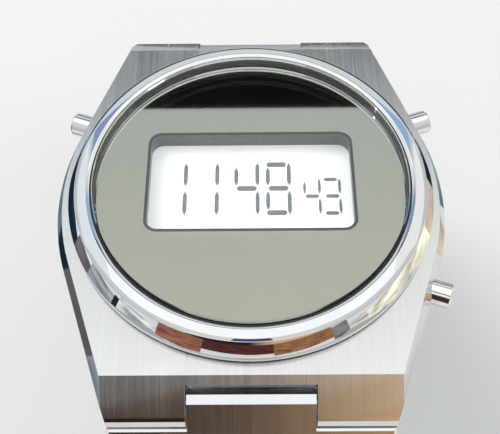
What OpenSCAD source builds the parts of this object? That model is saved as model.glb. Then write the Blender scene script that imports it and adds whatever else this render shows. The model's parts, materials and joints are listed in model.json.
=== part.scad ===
// A digital wristwatch: a barrel-shaped steel case with a round bezel, a liquid-crystal display
// behind a window in the dial, three push-buttons, and a bracelet of T-shaped links that a
// butterfly clasp closes. Millimetres. The origin is the centre of the case back's outer face:
// +X points to 3 o'clock, +Y to 12 o'clock and +Z out through the crystal.

/* [Case] */
// Width of the case across its flanks
case_w = 40.2; // [39:0.2:42]
// Length of the flat top face, from 12 to 6 o'clock
top_l = 39.4; // [38.6:0.2:41]
// Height of the case between the case back and the top face
case_h = 6; // [5.8:0.1:7]
// Radius of the rounded flanks, seen from above
flank_r = 24.7; // [23:0.1:27]
// Taper of the straight sides towards the ends, in degrees
side_taper = 19.3; // [18.5:0.1:20.5]
// Width of the polished bevel along the sides
bevel_w = 0.75; // [0.5:0.05:0.85]
// Height of the polished bevel along the sides
bevel_h = 1.6; // [1:0.1:2]
// Slope of the end facets, in degrees
facet_tilt = 36; // [34:0.5:38]
// Length of an end facet down its slope
facet_l = 4; // [3.9:0.02:4.1]
// Distance down the facet from the top face to the bracelet's pin
lug_pin_along = 3; // [2.9:0.05:3.1]
// Depth of the bracelet's pin under the facet
lug_pin_depth = 1.4; // [1.35:0.05:1.5]
// Radius of the bore that holds the movement
bore_r = 16.1; // [15.9:0.1:16.3]
// Distance from the middle at which the flat underside of the case ends
under_half_l = 19; // [18.8:0.1:19.2]

/* [Case back] */
// Radius of the case back
back_r = 18.6; // [18.5:0.1:18.8]
// Thickness of the case back
back_t = 1.6; // [1.4:0.1:1.9]
// Radius at which the four screws of the case back stand
screw_pitch_r = 17.75; // [17.7:0.05:17.8]
// Radius of a screw's head
screw_head_r = 0.7; // [0.6:0.05:0.75]
// Radius of a screw's thread
screw_r = 0.45; // [0.35:0.05:0.5]
// Height of the spigot that centres the case back in the bore
spigot_h = 0.9; // [0.6:0.1:1]

/* [Bezel and crystal] */
// Radius of the bezel at its foot
bezel_r = 18.55; // [18.4:0.05:18.7]
// Height of the bezel's upright foot
bezel_foot_h = 0.75; // [0.6:0.05:0.9]
// Radius of the bezel at the outer edge of its top ring
bezel_top_r = 17.3; // [17.1:0.05:17.4]
// Height of the bezel above the case
bezel_h = 2.85; // [2.6:0.05:3]
// Height of the dark gap under the bezel
bezel_gap = 0.25; // [0.1:0.05:0.3]
// Depth of the bezel's neck in the case
neck_h = 0.9; // [0.7:0.1:1]
// Radius of the bezel's neck
neck_r = 17.4; // [17.3:0.05:17.6]
// Thickness of the gasket round the crystal
gasket_t = 0.15; // [0.1:0.05:0.25]
// Thickness of the crystal
crystal_t = 1.2; // [1:0.05:1.3]
// How far the crystal stands above the bezel
crystal_up = 0.15; // [0.05:0.05:0.25]

/* [Dial and display] */
// Height of the dial's face above the case's top face
dial_rise = 1.35; // [1.25:0.05:1.4]
// Thickness of the dial
dial_t = 0.4; // [0.3:0.05:0.5]
// Width of the dial's window
window_w = 20.6; // [20:0.1:21.5]
// Height of the dial's window
window_h = 11.4; // [11:0.1:12]
// Radius of the window's corners
window_r = 1.1; // [0.8:0.1:2]
// Distance of the window's centre above the middle of the dial
window_up = 0.35; // [0:0.05:0.8]
// Depth of the display's face below the dial's face
window_depth = 2.1; // [1.9:0.05:2.15]
// Height of the large digits
digit_h = 6.5; // [5:0.1:6.8]
// Height of the small digits
small_digit_h = 4.5; // [3.5:0.1:4.6]
// Width of an upright stroke of the large digits
stroke_w = 0.4; // [0.3:0.02:0.5]
// Width of a level stroke of the large digits
bar_w = 0.56; // [0.4:0.02:0.64]
// The time that the display shows, hour and minute
shown_time = [1, 1, 4, 8];
// The seconds that the display shows
shown_seconds = [4, 3];

/* [Movement] */
// Thickness of the circuit board
board_t = 0.6; // [0.5:0.05:0.7]
// Distance between the display and the circuit board
strip_h = 0.9; // [0.85:0.05:1]
// Radius of the battery
battery_r = 4.75; // [3.9:0.05:4.8]
// Thickness of the battery
battery_t = 2.1; // [1.6:0.1:2.2]

/* [Pushers] */
// Radius of a push-button's head
pusher_r = 1.25; // [1.15:0.05:1.3]
// How far a head stands out of the case
pusher_out = 1.9; // [1.6:0.05:2]
// Travel of a push-button
pusher_travel = 0.8; // [0.6:0.05:0.85]
// Distance of a push-button from the middle of its straight side's normal
pusher_along = 3.8; // [3.6:0.1:4.1]
// Depth of a push-button's axis under the top face
pusher_down = 2.35; // [2.2:0.05:2.4]
// Radius of a push-button's stem
stem_r = 0.5; // [0.45:0.01:0.55]

/* [Bracelet] */
// Distance between a link's two pins
pitch = 9; // [8.8:0.05:9.2]
// Thickness of a link
link_t = 2.7; // [2.5:0.05:2.8]
// Width of the first link
first_link_w = 27.2; // [26:0.2:27.4]
// Width of the bracelet at the clasp
last_link_w = 18; // [17:0.2:20]
// Width of the central tongue at the case
tongue_w = 11.9; // [11:0.1:12.4]
// Width of the central tongue at the clasp
last_tongue_w = 8.4; // [8:0.1:9]
// Side clearance between a tongue and its slot
tongue_gap = 0.1; // [0.06:0.01:0.2]
// Gap between the end of a link and the next link's bar
link_gap = 0.25; // [0.2:0.05:0.35]
// Gap between the case's end and the first link's bar
lug_gap = 0.32; // [0.26:0.02:0.4]
// Tilt of the first link below level, in degrees
first_tilt = 50; // [48:0.5:52]
// Tilt of the last link below level, in degrees
last_tilt = 175; // [173:0.5:176]
// Radius of the bracelet's pins
pin_r = 0.4; // [0.35:0.01:0.45]
// Radial clearance of a pin that turns
pin_fit = 0.04; // [0.02:0.01:0.06]

/* [Clasp] */
// Distance of each clasp pin from the middle of the clasp
clasp_pin_y = 3.2; // [3.1:0.05:3.4]
// Distance of a clasp pin from the middle of its link's thickness, towards the wrist
clasp_pin_in = 0.6; // [0.55:0.05:0.65]
// Radial clearance at the open pivot
open_pivot_gap = 0.42; // [0.38:0.01:0.44]
// Thickness of an arm and of the centre plate
arm_t = 1; // [0.8:0.05:1.1]
// Width of an arm
arm_w = 8; // [7.4:0.1:8.2]
// Width of the centre plate
plate_w = 10.4; // [10:0.1:12]
// Gap between a folded arm and its link
arm_gap = 0.15; // [0.12:0.01:0.2]
// Radius of the clasp's knuckles
knuckle_r = 1.15; // [1.1:0.01:1.2]
// Length of the latch block across the bracelet
latch_w = 15.4; // [15:0.1:15.8]
// Travel of a release button
button_travel = 0.6; // [0.4:0.05:0.65]
// How far a release button stands out beside the last link
button_out = 0.5; // [0.4:0.05:0.7]

/* [Hidden] */
$fn = 64;
links = 7;
SIDES = ["upper", "lower"];
PUSHERS = [["10", -1, 1], ["2", 1, 1], ["4", 1, -1]];

steel = [0.72, 0.72, 0.71];
polished = [0.85, 0.86, 0.87];
black = [0.06, 0.06, 0.06];

// How far a cut runs past the face that it opens
over = 1;
// The side of a box that cuts away all of one side of a piece
big = 2 * first_link_w;
// Clearance between parts that are dropped in
loose = 0.1;

top_z = back_t + case_h;
bezel_top_z = top_z + bezel_h;
// How far the bezel's top ring falls towards its two edges
bezel_fall = 0.15;
crystal_r = bore_r - gasket_t;
crystal_base_z = bezel_top_z + crystal_up - crystal_t;
dial_z = top_z + dial_rise;
holder_top_z = dial_z - dial_t;
lcd_z = dial_z - window_depth;
lcd_t = 0.9;
// How far the display runs on past the window, to each side and to each end
lcd_margin = [1.55, 1.65];
lcd_size = [window_w, window_h] + 2 * lcd_margin;
board_z = lcd_z - lcd_t - strip_h;
holder_t = 1.45;
board_r = bore_r - holder_t - 0.45;
holder_base_z = back_t + spigot_h + loose;
light_t = 0.35;
strip_w = 1.4;
// How far a connector strip stops short of the window's side
strip_inset = 1.5;
strip_l = window_w - 2 * strip_inset;
// The battery lies under one end of the strips, the chip and the quartz can under the other
battery_at = [strip_l / 2 - battery_r, -2.6];
chip_size = [5, 5, 0.9];
chip_at = [chip_size[0] / 2 - strip_l / 2, -5];
can_r = 0.9;
can_l = 5.6;
can_at = [chip_at[0], 5];
battery_top_z = board_z - board_t - loose;
clip_t = 0.15;
alarm_r = 9;
alarm_t = 0.2;

// The straight sides stand this far from the middle of the case, measured square to them
side_d = (case_w / 2 - flank_r) * cos(side_taper) + flank_r;
pusher_z = top_z - pusher_down;
tube_r = 0.9;
tube_d = sqrt(bore_r * bore_r - pusher_along * pusher_along);
// The stem's inner end, past the tube's
stem_end_d = tube_d - 1.3;
pressed_d = stem_end_d - pusher_travel;
// The head starts this far inside the case's side, and the spring fills what the tube leaves
head_in = 0.45;
head_d = side_d - head_in;
spring_l = 1.7;
tube_l = head_d - spring_l - tube_d;
pusher_fit = 0.05;
// The seal's groove in the middle of the tube
seal_r = 0.74;
seal_h = 0.5;
seal_d = (tube_l - seal_h) / 2;
// The retaining clip: its thickness, the depth of its groove and the place of its outer face
pusher_clip_t = 0.2;
groove_depth = 0.14;
groove_fit = 0.02;
clip_d = tube_d - pusher_fit;

p0 = [top_l / 2, top_z] + lug_pin_along * dir(-facet_tilt) - lug_pin_depth * dir(90 - facet_tilt);
// Where the two polished flats of the case's end stop, past the facet's end and under its plane
lug_shoulder = [0.4, 0.1];
lug_tip = [1, 0.55];
turn = (last_tilt - first_tilt) / (links - 1);
end_r = link_t / 2;
face_u = end_r + link_gap;
// The first link's bar starts beyond the case's end, and the others beyond the round end before them
lug_reach = [facet_l + lug_tip[0] - lug_pin_along, lug_pin_depth - lug_tip[1]];
first_face_u = norm(lug_reach) * cos(first_tilt - facet_tilt + atan2(lug_reach[1], lug_reach[0])) + lug_gap;
slot_back = end_r + 0.4;
taper_step = (first_link_w - last_link_w) / (2 * links);
pin6 = pin_at(links - 1);
end_dir = dir(tilt(links));
end_out = dir(tilt(links) + 90);
end_l = (pin6[0] - clasp_pin_in * end_out[0] - clasp_pin_y) / -end_dir[0];
hinge_back = 1.5;
hinge_in = end_r + arm_gap + 1.9;
clasp_pin = pin6 + end_l * end_dir - clasp_pin_in * end_out;
hinge_pin = pin6 - hinge_back * end_dir - hinge_in * end_out;
hinge_r = 1.1;
hinge_w = 6;
mid_gap = 0.3;
latch_half_l = 1.65;
latch_base_z = clasp_pin[1] + end_r - clasp_pin_in + 0.45;
plate_base_z = hinge_pin[1] - arm_t / 2;
button_z = (latch_base_z + plate_base_z) / 2;
button_r = 0.7;
button_cap_r = 0.85;
// How far from the middle a button's hole ends
button_hole_x = 4.5;

function dir(a) = [cos(a), sin(a)];
function tilt(k) = -(first_tilt + (k - 1) * turn);
function pin_at(k) = k == 0 ? p0 : pin_at(k - 1) + pitch * dir(tilt(k));
function half_w(k) = first_link_w / 2 - taper_step * k;
function slot_at(k) = tongue_w + (last_tongue_w - tongue_w) * k / links;

// An outline drawn in the plane of 12 o'clock and height, thickened across the watch
module across(w) {
    rotate([90, 0, 90])
        linear_extrude(w, center = true)
            children();
}

// A round bar along X
module bar_x(r, l) {
    rotate([0, 90, 0])
        cylinder(r = r, h = l, center = true);
}

module ring(r_out, r_in, h) {
    difference() {
        cylinder(r = r_out, h = h);
        translate([0, 0, -over])
            cylinder(r = r_in, h = h + 2 * over);
    }
}

// The case before its ends and bores are cut. Seen from above it is rounded at its widest place and
// tapers straight from there, and the polished bevel runs along both: wedges turned round the
// flanks' centres, and slabs that go on from the wedges' ends.
module case_blank() {
    core_w = 12;
    far = top_l / 2 + 6;
    side_section = [
        [flank_r / 2, back_t],
        [flank_r, back_t],
        [flank_r, top_z - bevel_h],
        [flank_r - bevel_w, top_z],
        [flank_r / 2, top_z]];
    translate([-core_w / 2, -far, back_t])
        cube([core_w, 2 * far, case_h]);
    for (side = [0, 180])
        rotate([0, 0, side])
            translate([case_w / 2 - flank_r, 0, 0]) {
                rotate([0, 0, -side_taper])
                    rotate_extrude(angle = 2 * side_taper, $fn = 128)
                        polygon(side_section);
                for (s = [0, 1])
                    mirror([0, s, 0])
                        rotate([90, 0, side_taper])
                            translate([0, 0, -far])
                                linear_extrude(far)
                                    polygon(side_section);
            }
}

// Half of the case's profile from 12 o'clock to the middle. Its underside rises towards the pin, so
// that the first link can swing in under it.
module case_profile() {
    top_edge = [top_l / 2, top_z];
    down = dir(-facet_tilt);
    deep = dir(90 - facet_tilt);
    polygon([
        [0, back_t],
        [under_half_l, back_t],
        p0 + end_r * dir(-125),
        p0 + end_r * dir(-45),
        top_edge + (facet_l + lug_tip[0]) * down - lug_tip[1] * deep,
        top_edge + (facet_l + lug_shoulder[0]) * down - lug_shoulder[1] * deep,
        top_edge + facet_l * down,
        top_edge,
        [0, top_z]]);
    translate(p0)
        circle(r = end_r);
}

// A place on the case's end, in the facet's own directions, with its origin at the pin
module at_lug() {
    translate([0, p0[0], p0[1]])
        rotate([-facet_tilt, 0, 0])
            children();
}

module at_pusher(p) {
    mirror([p[1] < 0 ? 1 : 0, 0, 0])
        mirror([0, p[2] < 0 ? 1 : 0, 0])
            rotate([0, 0, side_taper])
                translate([0, pusher_along, pusher_z])
                    rotate([0, 90, 0])
                        children();
}

module at_screws() {
    for (a = [45:90:315])
        rotate([0, 0, a])
            translate([screw_pitch_r, 0, 0])
                children();
}

module case_middle() {
    slot = tongue_w + 2 * tongue_gap;
    edge = 0.3;
    color(steel)
    difference() {
        intersection() {
            case_blank();
            across(case_w + over)
                union() {
                    case_profile();
                    mirror([1, 0])
                        case_profile();
                }
        }
        translate([0, 0, back_t - over])
            cylinder(r = bore_r, h = case_h + 2 * over, $fn = 128);
        translate([0, 0, top_z - neck_h])
            cylinder(r = neck_r, h = neck_h + over, $fn = 128);
        translate([0, 0, back_t - over])
            ring(back_gasket_r[1], back_gasket_r[0], over + gasket_groove);
        at_screws()
            cylinder(r = screw_r, h = screw_l + 2 * loose);
        for (side = [0, 180])
            rotate([0, 0, side]) {
                at_lug() {
                    translate([-slot / 2, -slot_back, -8])
                        cube([slot, 8, 16]);
                    translate([0, -slot_back, lug_pin_depth])
                        rotate([45, 0, 0])
                            cube([slot, edge * 1.5, edge * 1.5], center = true);
                    bar_x(pin_r + pin_fit, case_pin_l + 0.4);
                }
            }
        for (p = PUSHERS)
            at_pusher(p) {
                translate([0, 0, tube_d - over])
                    cylinder(r = tube_r, h = tube_l + 2 * over);
                translate([0, 0, tube_d + tube_l])
                    cylinder(r = pusher_r + pusher_fit, h = 8);
            }
    }
}
case_pin_l = first_link_w - 5;
gasket_groove = 0.4;
back_gasket_r = [16.2, 16.9];

// Over an upright foot the bezel slopes to a shoulder, and its top ring falls a little to both edges
module bezel() {
    shoulder = [0.35, 0.3];
    lip = 0.4;
    color(polished)
        rotate_extrude($fn = 128)
            polygon([
                [bore_r, top_z - neck_h],
                [neck_r, top_z - neck_h],
                [neck_r, top_z + bezel_gap],
                [bezel_r, top_z + bezel_gap],
                [bezel_r, top_z + bezel_gap + bezel_foot_h],
                [bezel_top_r + shoulder[0], bezel_top_z - shoulder[1]],
                [bezel_top_r, bezel_top_z - bezel_fall],
                [bore_r + lip, bezel_top_z],
                [bore_r, bezel_top_z - bezel_fall]]);
}

module crystal_gasket() {
    foot = 0.15;
    sunk = 0.05;
    edge_z = bezel_top_z - bezel_fall - sunk;
    color(black)
        rotate_extrude($fn = 128)
            polygon([
                [crystal_r - foot, dial_z],
                [bore_r, dial_z],
                [bore_r, edge_z],
                [crystal_r, edge_z],
                [crystal_r, crystal_base_z],
                [crystal_r - foot, crystal_base_z]]);
}

module crystal() {
    edge = 0.15;
    color([0.8, 0.9, 0.95, 0.3])
        translate([0, 0, crystal_base_z]) {
            cylinder(r = crystal_r, h = crystal_t - edge, $fn = 128);
            translate([0, 0, crystal_t - edge])
                cylinder(r1 = crystal_r, r2 = crystal_r - edge, h = edge, $fn = 128);
        }
}

// A rectangle with round corners, made of discs and two bars so that its corners stay true arcs
module round_rect(size, r) {
    square([size[0] - 2 * r, size[1]], center = true);
    square([size[0], size[1] - 2 * r], center = true);
    for (x = [-1, 1], y = [-1, 1])
        translate([x * (size[0] / 2 - r), y * (size[1] / 2 - r)])
            circle(r);
}

module window_hole(extra, z, h) {
    translate([0, window_up, z])
        linear_extrude(h)
            round_rect([window_w + 2 * extra, window_h + 2 * extra], window_r + extra);
}

module dial() {
    color([0.62, 0.62, 0.57])
        difference() {
            translate([0, 0, holder_top_z])
                cylinder(r = bore_r - loose, h = dial_t, $fn = 128);
            window_hole(0, holder_top_z - over, dial_t + 2 * over);
        }
}

// One stroke of a figure, w wide, lying along +X from the origin, with ends that narrow over point
module stroke(l, w, point) {
    gap = 0.05;
    polygon([
        [gap, 0],
        [gap + point, -w / 2],
        [l - gap - point, -w / 2],
        [l - gap, 0],
        [l - gap - point, w / 2],
        [gap + point, w / 2]]);
}

// The strokes that are lit for the figures 0 to 9, each a string of the letters a to g
LIT = ["abcdef", "bc", "abged", "abgcd", "fgbc", "afgcd", "afgedc", "abc", "abcdefg", "abcdfg"];

// The outer level strokes lie over the ends of the left uprights and beside those of the right ones
module figure(n, h) {
    upright_w = stroke_w * h / digit_h;
    level_w = bar_w * h / digit_h;
    w = figure_ratio * h;
    l = (h - level_w) / 2;
    blunt = 0.2;
    pointed = 0.5;
    places = [
        ["a", [-upright_w / 2, h - level_w / 2], 0, w],
        ["b", [w, h - l], 90, l],
        ["c", [w, 0], 90, l],
        ["d", [-upright_w / 2, level_w / 2], 0, w],
        ["e", [0, level_w], 90, l - level_w],
        ["f", [0, h - l], 90, l - level_w],
        ["g", [0, h / 2], 0, w]];
    for (p = places)
        if (len(search(p[0], LIT[n])) > 0)
            translate(p[1])
                rotate(p[2])
                    if (p[2] == 0)
                        stroke(p[3], level_w, blunt);
                    else
                        stroke(p[3], upright_w, pointed);
}

// Distance between a figure's upright strokes against its height
figure_ratio = 0.34;
// The figures' left uprights, from the middle of the window, and their lower edge
big_x = [-9, -5.7, -1.5, 1.8];
small_x = [5.6, 7.7];
figures_y = -2.93;
print_t = 0.06;

module lcd_panel() {
    color([0.86, 0.89, 0.88])
        translate([0, window_up, lcd_z - lcd_t / 2])
            cube([lcd_size[0], lcd_size[1], lcd_t], center = true);
}

module lcd_segments() {
    color([0.45, 0.48, 0.5])
        translate([0, window_up, lcd_z])
            linear_extrude(print_t) {
                for (i = [0:3])
                    translate([big_x[i], figures_y])
                        figure(shown_time[i], digit_h);
                for (i = [0:1])
                    translate([small_x[i], figures_y])
                        figure(shown_seconds[i], small_digit_h);
            }
}

strip_y = lcd_size[1] / 2 - strip_w / 2 - 2 * loose;

module connector_strips() {
    color([0.75, 0.35, 0.45])
        for (s = [-1, 1])
            translate([0, window_up + s * strip_y, board_z + strip_h / 2])
                cube([strip_l, strip_w, strip_h], center = true);
}

module light_panel() {
    color([0.9, 0.92, 0.9])
        translate([0, window_up, lcd_z - lcd_t - light_t / 2])
            cube([lcd_size[0] - 2, 2 * (strip_y - loose) - strip_w, light_t], center = true);
}

module movement_holder() {
    r = bore_r - loose;
    deck_t = holder_top_z - lcd_z;
    color([0.2, 0.21, 0.22])
        difference() {
            translate([0, 0, holder_base_z])
                cylinder(r = r, h = holder_top_z - holder_base_z, $fn = 128);
            translate([0, 0, holder_base_z - over])
                cylinder(r = r - holder_t, h = holder_top_z - holder_base_z - deck_t + over, $fn = 128);
            window_hole(0.15, lcd_z - over, deck_t + 2 * over);
            translate([0, window_up, lcd_z - 5])
                cube([lcd_size[0] + 2 * loose, lcd_size[1] + 2 * loose, 10], center = true);
            for (p = PUSHERS)
                at_pusher(p)
                    translate([0, 0, tube_d - 4])
                        cylinder(r = 1.3, h = 8);
        }
}

// The board has a notch for each push-button's stem
module circuit_board() {
    notch_w = 2 * (stem_r + 0.2);
    color([0.1, 0.35, 0.2])
        difference() {
            translate([0, 0, board_z - board_t])
                cylinder(r = board_r, h = board_t, $fn = 128);
            for (p = PUSHERS)
                at_pusher(p)
                    translate([-case_h / 2, -notch_w / 2, pressed_d - pusher_fit])
                        cube([case_h, notch_w, board_r]);
        }
}

module chip() {
    color(black)
        translate([chip_at[0], chip_at[1], board_z - board_t - chip_size[2] / 2])
            cube(chip_size, center = true);
}

module quartz_can() {
    color(polished)
        translate([can_at[0], can_at[1], board_z - board_t - can_r])
            bar_x(can_r, can_l);
}

module battery() {
    cap_in = 0.5;
    cap_h = 0.3;
    color([0.8, 0.8, 0.78])
        translate([battery_at[0], battery_at[1], battery_top_z - battery_t]) {
            cylinder(r = battery_r - cap_in, h = battery_t);
            translate([0, 0, cap_h])
                cylinder(r = battery_r, h = battery_t - cap_h);
        }
}

module battery_clip() {
    clip_w = 3;
    leg_x = battery_r + loose;
    drop = battery_t + loose + clip_t;
    color([0.8, 0.75, 0.55])
        translate([battery_at[0], battery_at[1], board_z - board_t - drop]) {
            translate([-leg_x - clip_t, -clip_w / 2, 0])
                cube([2 * (leg_x + clip_t), clip_w, clip_t]);
            for (x = [-leg_x - clip_t, leg_x])
                translate([x, -clip_w / 2, 0])
                    cube([clip_t, clip_w, drop]);
        }
}

module contact_leaves() {
    leaf_t = 0.15;
    leaf_w = 1.2;
    rest_gap = 0.1;
    leaf_top = pusher_z + 0.3;
    color([0.85, 0.7, 0.35])
        for (p = PUSHERS)
            at_pusher(p)
                translate([pusher_z - leaf_top, -leaf_w / 2, pressed_d - rest_gap - leaf_t])
                    cube([leaf_top - board_z, leaf_w, leaf_t]);
}

module alarm_disc() {
    color([0.8, 0.65, 0.3])
        translate([0, 0, back_t])
            cylinder(r = alarm_r, h = alarm_t);
}

screw_head_h = 0.7;
screw_fit = 0.05;
screw_grip = 2.2;
screw_l = back_t + screw_grip;
screw_sunk = 0.1;
screw_slot_w = 0.25;
screw_slot_depth = 0.25;

module case_back() {
    edge = 0.5;
    spigot_t = 1.35;
    spigot_fit = 0.05;
    color(steel)
        difference() {
            union() {
                cylinder(r1 = back_r - edge, r2 = back_r, h = edge, $fn = 128);
                translate([0, 0, edge])
                    cylinder(r = back_r, h = back_t - edge, $fn = 128);
                translate([0, 0, back_t])
                    ring(bore_r - spigot_fit, bore_r - spigot_fit - spigot_t, spigot_h);
            }
            at_screws() {
                translate([0, 0, -over])
                    cylinder(r = screw_head_r + screw_fit, h = over + screw_head_h);
                cylinder(r = screw_r + screw_fit, h = back_t + over);
            }
        }
}

module back_gasket() {
    color(black)
        translate([0, 0, back_t])
            ring(back_gasket_r[1], back_gasket_r[0], gasket_groove);
}

module back_screws() {
    color(polished)
        at_screws()
            translate([0, 0, screw_sunk])
                difference() {
                    union() {
                        cylinder(r = screw_head_r, h = screw_head_h - screw_sunk);
                        cylinder(r = screw_r, h = screw_l - screw_sunk);
                    }
                    cube([2 * screw_head_r + over, screw_slot_w, 2 * screw_slot_depth], center = true);
                }
}

module pusher_tubes() {
    color([0.8, 0.75, 0.6])
        for (p = PUSHERS)
            at_pusher(p)
                translate([0, 0, tube_d])
                    difference() {
                        ring(tube_r, stem_r + pin_fit, tube_l);
                        translate([0, 0, seal_d])
                            cylinder(r = seal_r, h = seal_h);
                    }
}

module pusher_seals() {
    color(black)
        for (p = PUSHERS)
            at_pusher(p)
                translate([0, 0, tube_d + seal_d])
                    ring(seal_r, stem_r + pin_fit / 2, seal_h);
}

module pusher(p) {
    edge = 0.2;
    head_l = pusher_out + side_d - head_d;
    color(polished)
        at_pusher(p)
            difference() {
                union() {
                    translate([0, 0, stem_end_d])
                        cylinder(r = stem_r, h = head_d - stem_end_d);
                    translate([0, 0, head_d])
                        cylinder(r = pusher_r, h = head_l - edge);
                    translate([0, 0, head_d + head_l - edge])
                        cylinder(r1 = pusher_r, r2 = pusher_r - edge, h = edge);
                }
                translate([0, 0, clip_d - pusher_clip_t - groove_fit])
                    ring(stem_r + over, stem_r - groove_depth, pusher_clip_t + 2 * groove_fit);
            }
}

// The clip that keeps a push-button in, seated in the stem's groove
module pusher_clip(p) {
    color(steel)
        at_pusher(p)
            translate([0, 0, clip_d - pusher_clip_t])
                difference() {
                    ring(tube_r - pusher_fit, stem_r - groove_depth, pusher_clip_t);
                    translate([0, -stem_r / 2, -over])
                        cube([2 * stem_r, stem_r, pusher_clip_t + 2 * over]);
                }
}

module pusher_spring(p) {
    clear = 0.15;
    color(polished)
        at_pusher(p)
            translate([0, 0, tube_d + tube_l])
                ring(pusher_r - clear, stem_r + clear, head_d - tube_d - tube_l);
}

// A place on link k, with X across, Y along the link from its first pin and Z out of the bracelet
module on_link(k) {
    p = pin_at(k - 1);
    translate([0, p[0], p[1]])
        rotate([tilt(k), 0, 0])
            children();
}

// A link from the side: square outer corners, round inner ones, a broad bevel on the tongue
module link_profile(l) {
    tongue_bevel = [0.75, 0.5];
    ear_bevel = 0.3;
    polygon([
        [0, -end_r],
        [l, -end_r],
        [l + end_r, 0],
        [l + end_r, end_r - ear_bevel],
        [l + end_r - ear_bevel, end_r],
        [tongue_bevel[0] - end_r, end_r],
        [-end_r, end_r - tongue_bevel[1]],
        [-end_r, 0]]);
    for (y = [0, l])
        translate([y, 0])
            circle(r = end_r);
}

// Link k with its tongue, without the slot in its far end
module link_blank(k, l) {
    a = half_w(k - 1);
    lean = atan(taper_step / pitch);
    edge = 0.28;
    tongue = slot_at(k - 1);
    bar_u = k == 1 ? first_face_u : face_u;
    difference() {
        across(2 * a + over)
            link_profile(l);
        for (s = [0, 1])
            mirror([s, 0, 0]) {
                translate([a, 0, 0])
                    rotate([0, 0, lean])
                        translate([0, -5, -5])
                            cube([5, l + 10, 10]);
                translate([a, 0, end_r])
                    rotate([0, 0, lean])
                        rotate([0, 45, 0])
                            cube([edge * sqrt(2), 3 * l, edge * sqrt(2)], center = true);
                translate([tongue / 2, -5, -5])
                    cube([a, 5 + bar_u, 10]);
                translate([tongue / 2 + 10, bar_u, end_r])
                    rotate([45, 0, 0])
                        cube([20, edge, edge], center = true);
            }
    }
}

// Links with odd numbers hold both their pins fast, and the others turn on them
module bracelet_link(side, k) {
    fast = k % 2 == 1 ? 0 : pin_fit;
    slot = slot_at(k) + 2 * tongue_gap;
    color(steel)
        rotate([0, 0, side == "upper" ? 0 : 180])
            if (k < links)
                on_link(k)
                    difference() {
                        link_blank(k, pitch);
                        translate([-slot / 2, pitch - slot_back, -5])
                            cube([slot, 10, 10]);
                        bar_x(pin_r + fast, big);
                        translate([0, pitch, 0])
                            bar_x(pin_r + fast, big);
                    }
            else
                last_link(fast);
}

// The last link runs on past its clasp pin to the middle, with a pocket for the arm's knuckle
module last_link(fast) {
    pocket = knuckle_r + open_pivot_gap + 0.05;
    difference() {
        on_link(links)
            difference() {
                link_blank(links, end_l + 2 * clasp_pin_y);
                translate([-arm_w / 2 - 0.2, end_l - pocket, -5])
                    cube([arm_w + 0.4, 2 * pocket, 5 - clasp_pin_in + pocket - 0.25]);
                bar_x(pin_r + fast, big);
                translate([0, end_l, -clasp_pin_in])
                    bar_x(pin_r + fast, clasp_pin_l);
            }
        translate([0, (mid_gap - big) / 2, clasp_pin[1]])
            cube(big, center = true);
    }
}
clasp_pin_l = last_link_w - 3;

// The two pins of an odd link; the last link's second pin is the clasp's
module link_pins(side, k) {
    inset = 0.3;
    color(polished)
        rotate([0, 0, side == "upper" ? 0 : 180])
            on_link(k) {
                bar_x(pin_r, k == 1 ? case_pin_l : 2 * (half_w(k - 1) - inset));
                if (k < links)
                    translate([0, pitch, 0])
                        bar_x(pin_r, 2 * (half_w(k) - inset));
                else
                    translate([0, end_l, -clasp_pin_in])
                        bar_x(pin_r, clasp_pin_l);
            }
}

// An arm from the side, in the last link's directions: a strip between two knuckles
module arm_profile() {
    low = -(end_r + arm_gap);
    high = low - arm_t;
    web = knuckle_r - 0.05;
    polygon([
        [end_l, high],
        [end_l, -clasp_pin_in] + web * dir(-45),
        [end_l + web, -clasp_pin_in],
        [end_l - web, -clasp_pin_in],
        [end_l - web, low],
        [1.2, low],
        [-hinge_back + 0.3, -hinge_in + hinge_r - 0.1],
        [-hinge_back, -hinge_in],
        [-hinge_back + 0.7, -hinge_in + 0.1],
        [2.4, high]]);
    translate([end_l, -clasp_pin_in])
        circle(r = knuckle_r);
    translate([-hinge_back, -hinge_in])
        circle(r = hinge_r);
}

// One arm of the clasp; clear is the radial clearance on its link's pin
module clasp_arm(side, clear) {
    narrow = (arm_w - hinge_w) / 2;
    color(polished)
        rotate([0, 0, side == "upper" ? 0 : 180])
            on_link(links)
                difference() {
                    across(arm_w)
                        arm_profile();
                    for (s = [0, 1])
                        mirror([s, 0, 0])
                            translate([hinge_w / 2, -6, -8])
                                cube([narrow + over, 6 + 2.2, 10]);
                    translate([0, end_l, -clasp_pin_in])
                        bar_x(pin_r + clear, arm_w + over);
                    translate([0, -hinge_back, -hinge_in])
                        bar_x(pin_r + pin_fit, arm_w + over);
                }
}

module clasp_plate() {
    ear = (plate_w - hinge_w) / 2 - tongue_gap;
    slot_l = 3.3;
    color(polished)
        difference() {
            union() {
                translate([0, 0, hinge_pin[1]])
                    cube([plate_w, 2 * hinge_pin[0], arm_t], center = true);
                for (s = [-1, 1], y = [-1, 1])
                    translate([s * (plate_w - ear) / 2, y * hinge_pin[0], hinge_pin[1]])
                        bar_x(hinge_r, ear);
                translate([-latch_w / 2, -latch_half_l, latch_base_z])
                    cube([latch_w, 2 * latch_half_l, hinge_pin[1] + arm_t / 2 - latch_base_z]);
            }
            for (y = [-1, 1])
                translate([0, y * hinge_pin[0], hinge_pin[1]]) {
                    cube([hinge_w + 2 * tongue_gap, 2 * slot_l, 4], center = true);
                    bar_x(pin_r, plate_w + over);
                }
            for (s = [-1, 1])
                translate([s * (button_hole_x + latch_w / 2), 0, button_z])
                    bar_x(button_r + pusher_fit, latch_w);
        }
}

module plate_pins() {
    color(polished)
        for (y = [-1, 1])
            translate([0, y * hinge_pin[0], hinge_pin[1]])
                bar_x(pin_r, plate_w);
}

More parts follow.
